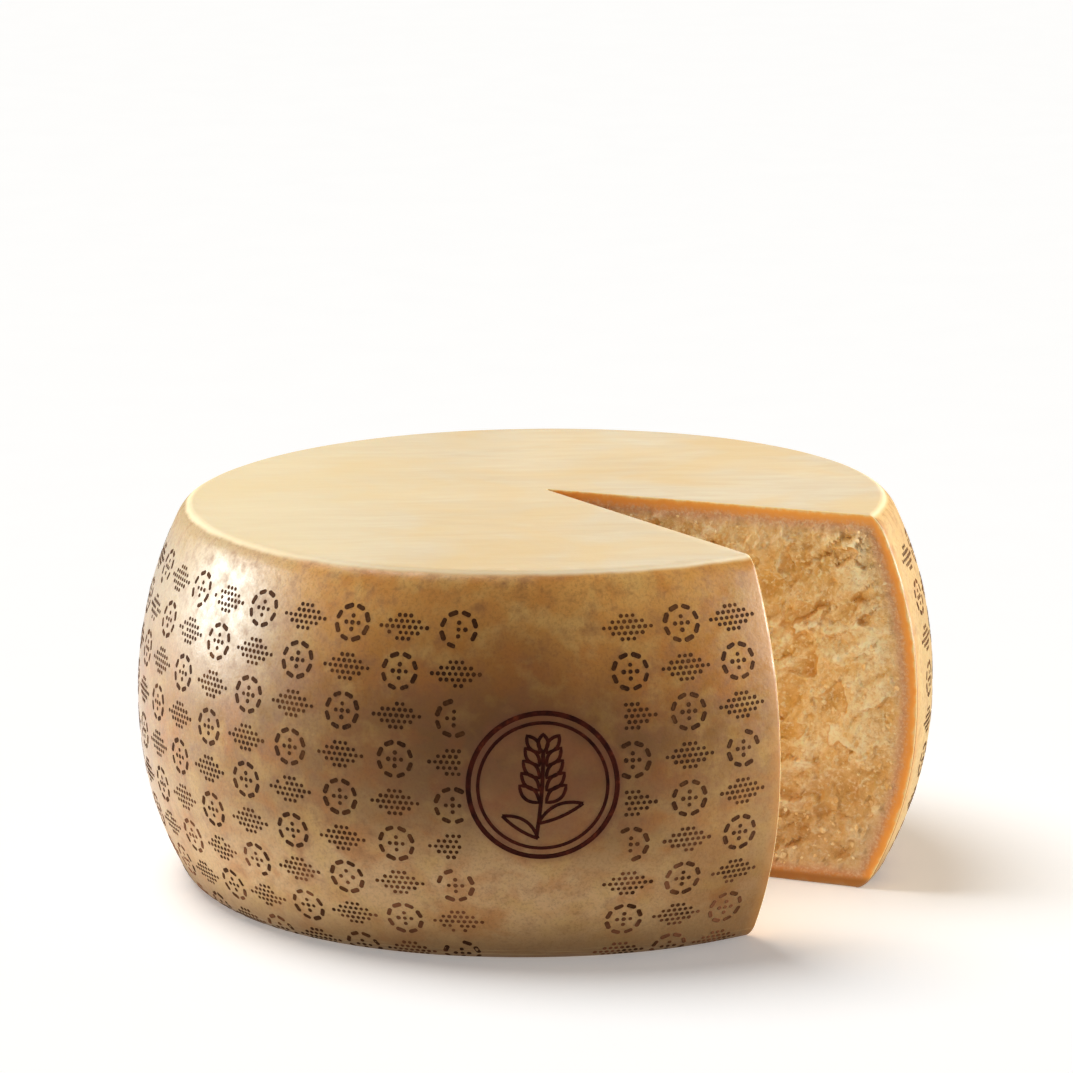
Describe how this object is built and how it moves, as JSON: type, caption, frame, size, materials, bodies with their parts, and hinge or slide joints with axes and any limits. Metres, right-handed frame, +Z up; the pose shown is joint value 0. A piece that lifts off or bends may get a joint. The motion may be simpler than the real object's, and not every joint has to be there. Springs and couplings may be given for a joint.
{
  "type": "hard cheese wheel",
  "caption": "Drum-shaped wheel of hard aged cheese with bulging sides, an imprinted rind and a wedge cut out that bares its craggy paste.",
  "frame": {"origin": "under the middle of the wheel, on the surface that it stands on", "axes": "+Z up along the wheel's axis; the notch opens towards +X and -Y"},
  "size_m": [0.4193, 0.4169, 0.2],
  "materials": {
    "rind": "waxy tan rind with golden and brown patches, soft gloss",
    "paste": "straw-yellow crumbly paste of the cuts, with pale grains and golden hollows, matt",
    "imprint": "dark brown pin-dotted imprint in the rind, matt",
    "burnt_mark": "dark red-brown burnt strokes, matt"
  },
  "bodies": {
    "root": {"cheese_wheel": "rind"}
  },
  "joints": []
}
